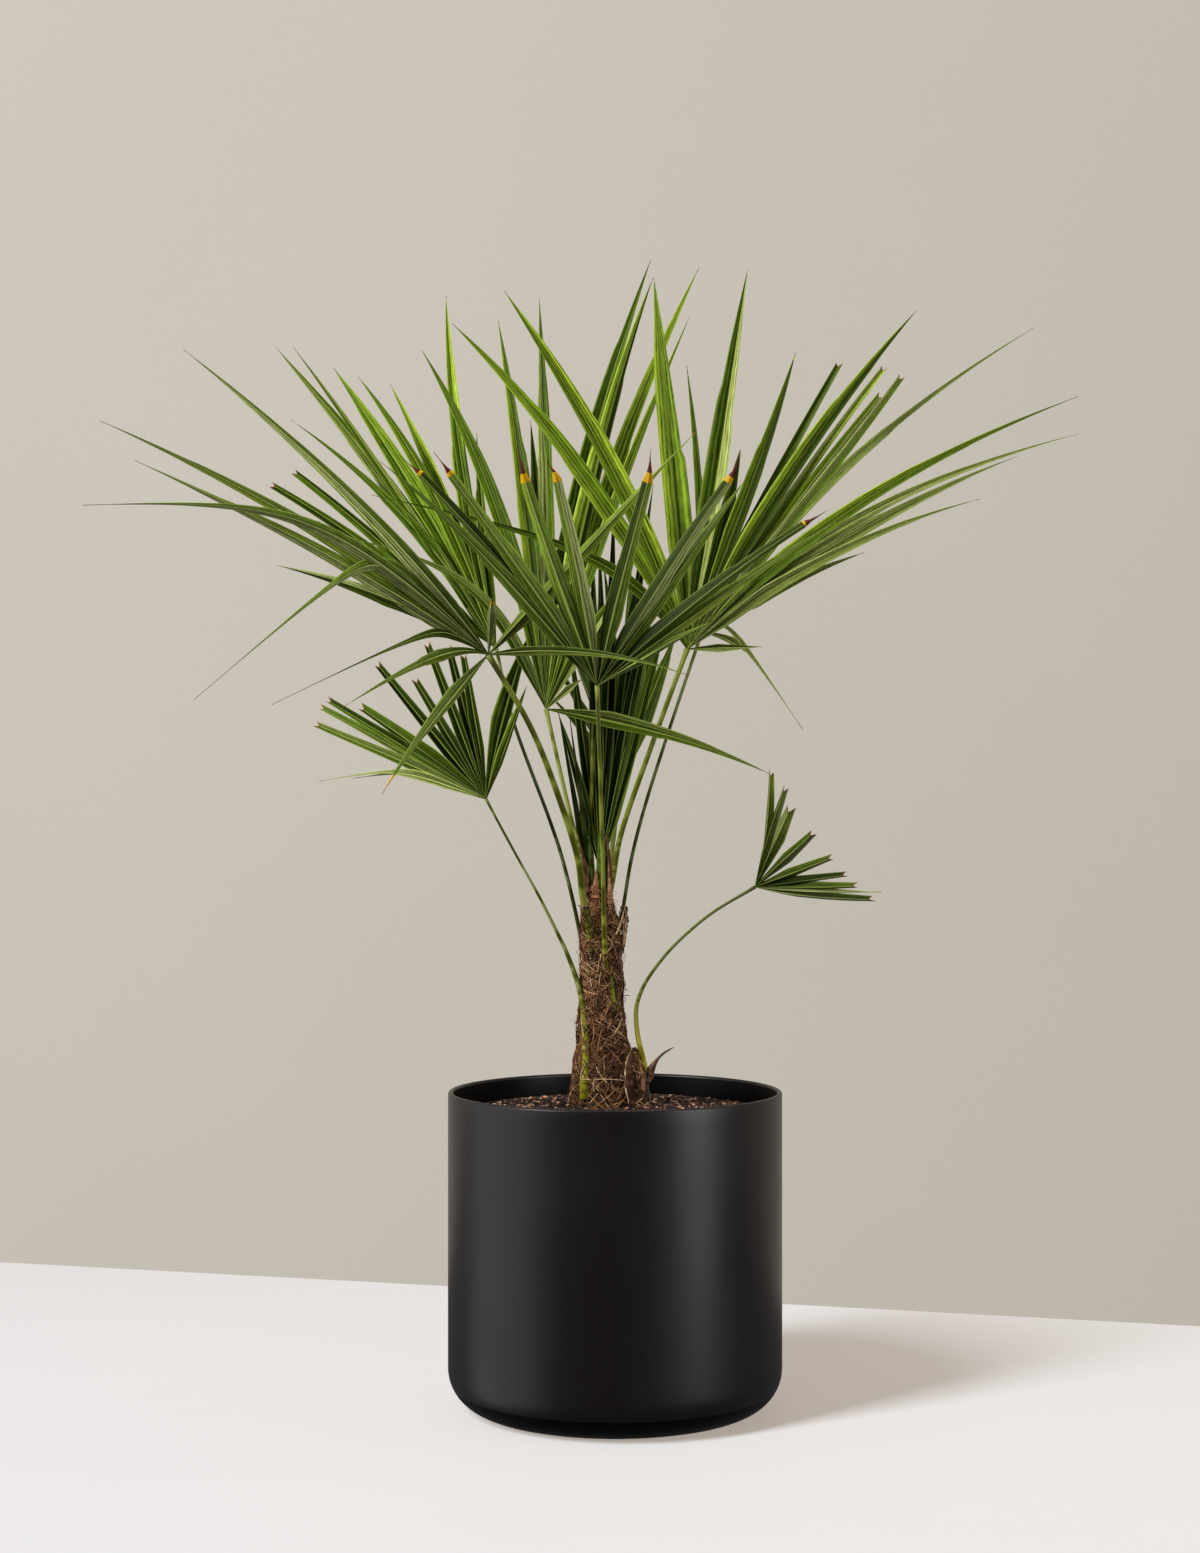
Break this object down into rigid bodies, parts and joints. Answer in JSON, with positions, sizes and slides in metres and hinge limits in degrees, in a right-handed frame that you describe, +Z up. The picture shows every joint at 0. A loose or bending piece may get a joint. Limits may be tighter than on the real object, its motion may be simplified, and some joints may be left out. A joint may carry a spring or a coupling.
{
  "type": "potted windmill palm",
  "caption": "Young windmill palm with stalked fan leaves and a short fibrous trunk, standing in a plain round planter filled with bark soil.",
  "frame": {"origin": "centre of the pot's flat underside, on the pot's axis", "axes": "+Z up along the pot's axis, the plant's front faces -Y, +X to the right seen from the front"},
  "size_m": [0.822, 0.677, 1.0458],
  "materials": {
    "pot": "matte charcoal, almost black, with a soft satin highlight",
    "soil": "loose dark bark and peat chips with reddish flecks",
    "trunk": "matted brown woven fibre over old leaf bases",
    "husk": "dry papery leaf base and bract, tan with darker edges",
    "stalk": "smooth green leaf stalk, yellow-green at the foot",
    "leaf": "leathery pleated green leaflet with a pale midrib, satin above and greyer below"
  },
  "bodies": {
    "root": {"pot": "pot", "soil": "soil", "trunk": "trunk", "stalk_front": "stalk", "stalk_left": "stalk", "stalk_left_rear": "stalk", "stalk_mid": "stalk", "stalk_right": "stalk", "stalk_right_rear": "stalk", "stalk_low_left": "stalk", "stalk_low_right": "stalk", "stalk_back": "stalk", "stalk_rear": "stalk", "spear_leaf": "stalk", "old_leaf_base": "husk", "dry_bract": "husk", "frond_front": "leaf", "frond_left": "leaf", "frond_left_rear": "leaf", "frond_mid": "leaf", "frond_right": "leaf", "frond_right_rear": "leaf", "frond_low_left": "leaf", "frond_low_right": "leaf", "frond_centre": "leaf", "frond_back": "leaf", "frond_rear": "leaf"}
  },
  "joints": []
}
